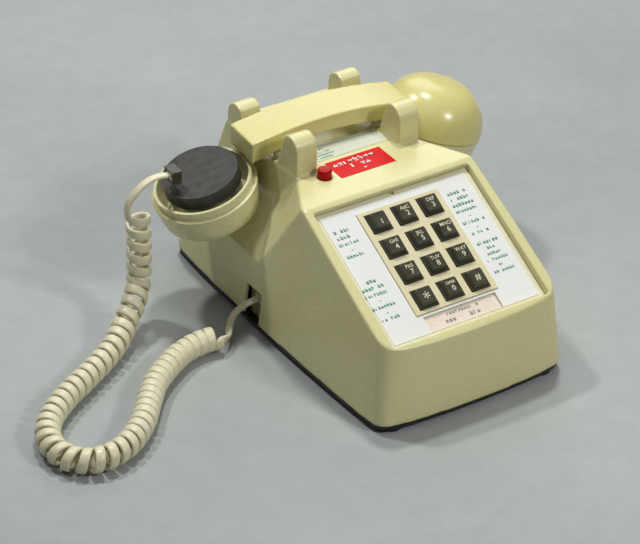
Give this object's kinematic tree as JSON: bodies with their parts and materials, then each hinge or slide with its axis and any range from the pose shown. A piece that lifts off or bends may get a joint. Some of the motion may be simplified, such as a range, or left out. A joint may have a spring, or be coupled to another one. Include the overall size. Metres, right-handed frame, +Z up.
{
  "type": "push-button desk telephone",
  "caption": "Push-button desk telephone: wedge body, square keys on a sloping faceplate, handset in a cradle of ears, curly cord lying beside it.",
  "frame": {"origin": "on the table, under the middle of the telephone's box without its cord", "axes": "+Z up, the keypad faces -Y, the transmitter and the cord are on the -X side"},
  "size_m": [0.3709, 0.246, 0.132],
  "materials": {
    "black_steel": "satin black enamel",
    "black_rubber": "matt rubber",
    "beige_shell": "moulded ABS, slightly yellowed",
    "zinc": "zinc plated",
    "cream_face": "moulded plastic",
    "card_white": "printed card under clear film",
    "card_peach": "paper card",
    "clear_cover": "clear plastic window",
    "cream_bezel": "moulded plastic",
    "inner_plastic": "moulded plastic",
    "silicone": "silicone sheet",
    "circuit_board": "epoxy glass board",
    "lamp_red": "translucent red plastic",
    "bulb": "bulb body",
    "label_red": "printed vinyl",
    "card_green": "printed card",
    "plunger_white": "acetal",
    "contact_brass": "bright",
    "inner_grey": "moulded plastic",
    "coil_wrap": "taped winding",
    "gong_brass": "spun brass",
    "jack_ivory": "moulded plastic",
    "cream_handset": "moulded ABS, yellowed, polished by use",
    "unit_metal": "pressed",
    "jack_dark": "moulded plastic",
    "plug_clear": "moulded plug",
    "cord_cream": "flexible vinyl jacket",
    "key_dark": "moulded plastic"
  },
  "bodies": {
    "root": {"base_plate": "black_steel", "feet": "black_rubber", "housing": "beige_shell", "housing_screws": "zinc", "faceplate": "cream_face", "instruction_card": "card_white", "number_card": "card_peach", "number_card_window": "clear_cover", "keypad_bezel": "cream_bezel", "keypad_frame": "inner_plastic", "keypad_dome_sheet": "silicone", "keypad_circuit_board": "circuit_board", "message_lamp_lens": "lamp_red", "message_lamp_bulb": "bulb", "notice_label": "label_red", "cradle_card": "card_green", "hook_bracket": "zinc", "hook_pin": "zinc", "hook_spring": "zinc", "hook_contacts": "contact_brass", "network_block": "inner_grey", "network_terminals": "contact_brass", "ringer_frame": "zinc", "ringer_coil": "coil_wrap", "gong_left": "gong_brass", "gong_right": "gong_brass", "gong_screws": "zinc", "volume_wheel_axle": "zinc", "base_jack": "jack_ivory", "line_jack": "jack_ivory", "base_plug": "plug_clear", "cord_tail_handset": "cord_cream", "cord_coil": "cord_cream", "cord_tail_base": "cord_cream"},
    "handset": {"handset_grip": "cream_handset", "receiver_cap": "beige_shell", "transmitter_cap": "beige_shell", "receiver_unit": "unit_metal", "transmitter_unit": "unit_metal", "transmitter_cup": "inner_plastic", "handset_jack": "jack_dark", "handset_plug": "plug_clear"},
    "plunger_left": {"plunger_left": "plunger_white"},
    "plunger_right": {"plunger_right": "plunger_white"},
    "hook_lever": {"hook_lever": "zinc"},
    "clapper": {"ringer_clapper": "zinc"},
    "volume_wheel": {"ringer_volume_wheel": "inner_grey"},
    "key_1": {"key_1": "key_dark"},
    "key_2": {"key_2": "key_dark"},
    "key_3": {"key_3": "key_dark"},
    "key_4": {"key_4": "key_dark"},
    "key_5": {"key_5": "key_dark"},
    "key_6": {"key_6": "key_dark"},
    "key_7": {"key_7": "key_dark"},
    "key_8": {"key_8": "key_dark"},
    "key_9": {"key_9": "key_dark"},
    "key_star": {"key_star": "key_dark"},
    "key_0": {"key_0": "key_dark"},
    "key_pound": {"key_pound": "key_dark"}
  },
  "joints": [
    {"name": "handset_lift", "type": "slide", "parent": "root", "child": "handset", "axis": [0, 0, 1], "range_m": [0, 0.08], "deforming": ["cord_tail_handset", "cord_coil", "cord_tail_base"]},
    {"name": "plunger_left_slide", "type": "slide", "parent": "root", "child": "plunger_left", "axis": [0, 0, 1], "range_m": [0, 0.006]},
    {"name": "plunger_right_slide", "type": "slide", "parent": "root", "child": "plunger_right", "axis": [0, 0, 1], "range_m": [0, 0.006]},
    {"name": "hook_lever_pivot", "type": "hinge", "parent": "root", "child": "hook_lever", "pos_m": [0, 0.072, 0.072], "axis": [-1, 0, 0], "range_deg": [0, 9.5]},
    {"name": "clapper_swing", "type": "hinge", "parent": "root", "child": "clapper", "pos_m": [0, -0.056, 0.0108], "axis": [0, 0, 1], "range_deg": [-3.5, 3.5], "stiffness_Nm_per_rad": 0.001},
    {"name": "volume_wheel_turn", "type": "hinge", "parent": "root", "child": "volume_wheel", "pos_m": [0.05, -0.02, 0.014], "axis": [1, 0, 0], "range_deg": [-60, 60]},
    {"name": "key_1_press", "type": "slide", "parent": "root", "child": "key_1", "axis": [0, 0.4524, -0.8918], "range_m": [0, 0.0025], "stiffness_N_per_m": 240, "springref_m": -0.001},
    {"name": "key_2_press", "type": "slide", "parent": "root", "child": "key_2", "axis": [0, 0.4524, -0.8918], "range_m": [0, 0.0025], "stiffness_N_per_m": 240, "springref_m": -0.001},
    {"name": "key_3_press", "type": "slide", "parent": "root", "child": "key_3", "axis": [0, 0.4524, -0.8918], "range_m": [0, 0.0025], "stiffness_N_per_m": 240, "springref_m": -0.001},
    {"name": "key_4_press", "type": "slide", "parent": "root", "child": "key_4", "axis": [0, 0.4524, -0.8918], "range_m": [0, 0.0025], "stiffness_N_per_m": 240, "springref_m": -0.001},
    {"name": "key_5_press", "type": "slide", "parent": "root", "child": "key_5", "axis": [0, 0.4524, -0.8918], "range_m": [0, 0.0025], "stiffness_N_per_m": 240, "springref_m": -0.001},
    {"name": "key_6_press", "type": "slide", "parent": "root", "child": "key_6", "axis": [0, 0.4524, -0.8918], "range_m": [0, 0.0025], "stiffness_N_per_m": 240, "springref_m": -0.001},
    {"name": "key_7_press", "type": "slide", "parent": "root", "child": "key_7", "axis": [0, 0.4524, -0.8918], "range_m": [0, 0.0025], "stiffness_N_per_m": 240, "springref_m": -0.001},
    {"name": "key_8_press", "type": "slide", "parent": "root", "child": "key_8", "axis": [0, 0.4524, -0.8918], "range_m": [0, 0.0025], "stiffness_N_per_m": 240, "springref_m": -0.001},
    {"name": "key_9_press", "type": "slide", "parent": "root", "child": "key_9", "axis": [0, 0.4524, -0.8918], "range_m": [0, 0.0025], "stiffness_N_per_m": 240, "springref_m": -0.001},
    {"name": "key_star_press", "type": "slide", "parent": "root", "child": "key_star", "axis": [0, 0.4524, -0.8918], "range_m": [0, 0.0025], "stiffness_N_per_m": 240, "springref_m": -0.001},
    {"name": "key_0_press", "type": "slide", "parent": "root", "child": "key_0", "axis": [0, 0.4524, -0.8918], "range_m": [0, 0.0025], "stiffness_N_per_m": 240, "springref_m": -0.001},
    {"name": "key_pound_press", "type": "slide", "parent": "root", "child": "key_pound", "axis": [0, 0.4524, -0.8918], "range_m": [0, 0.0025], "stiffness_N_per_m": 240, "springref_m": -0.001}
  ],
  "couplings": [
    {"joint": "plunger_left_slide", "follows": "handset_lift", "ratio": 0.075},
    {"joint": "plunger_right_slide", "follows": "handset_lift", "ratio": 0.075},
    {"joint": "hook_lever_pivot", "follows": "handset_lift", "rad_per_m": 2}
  ]
}
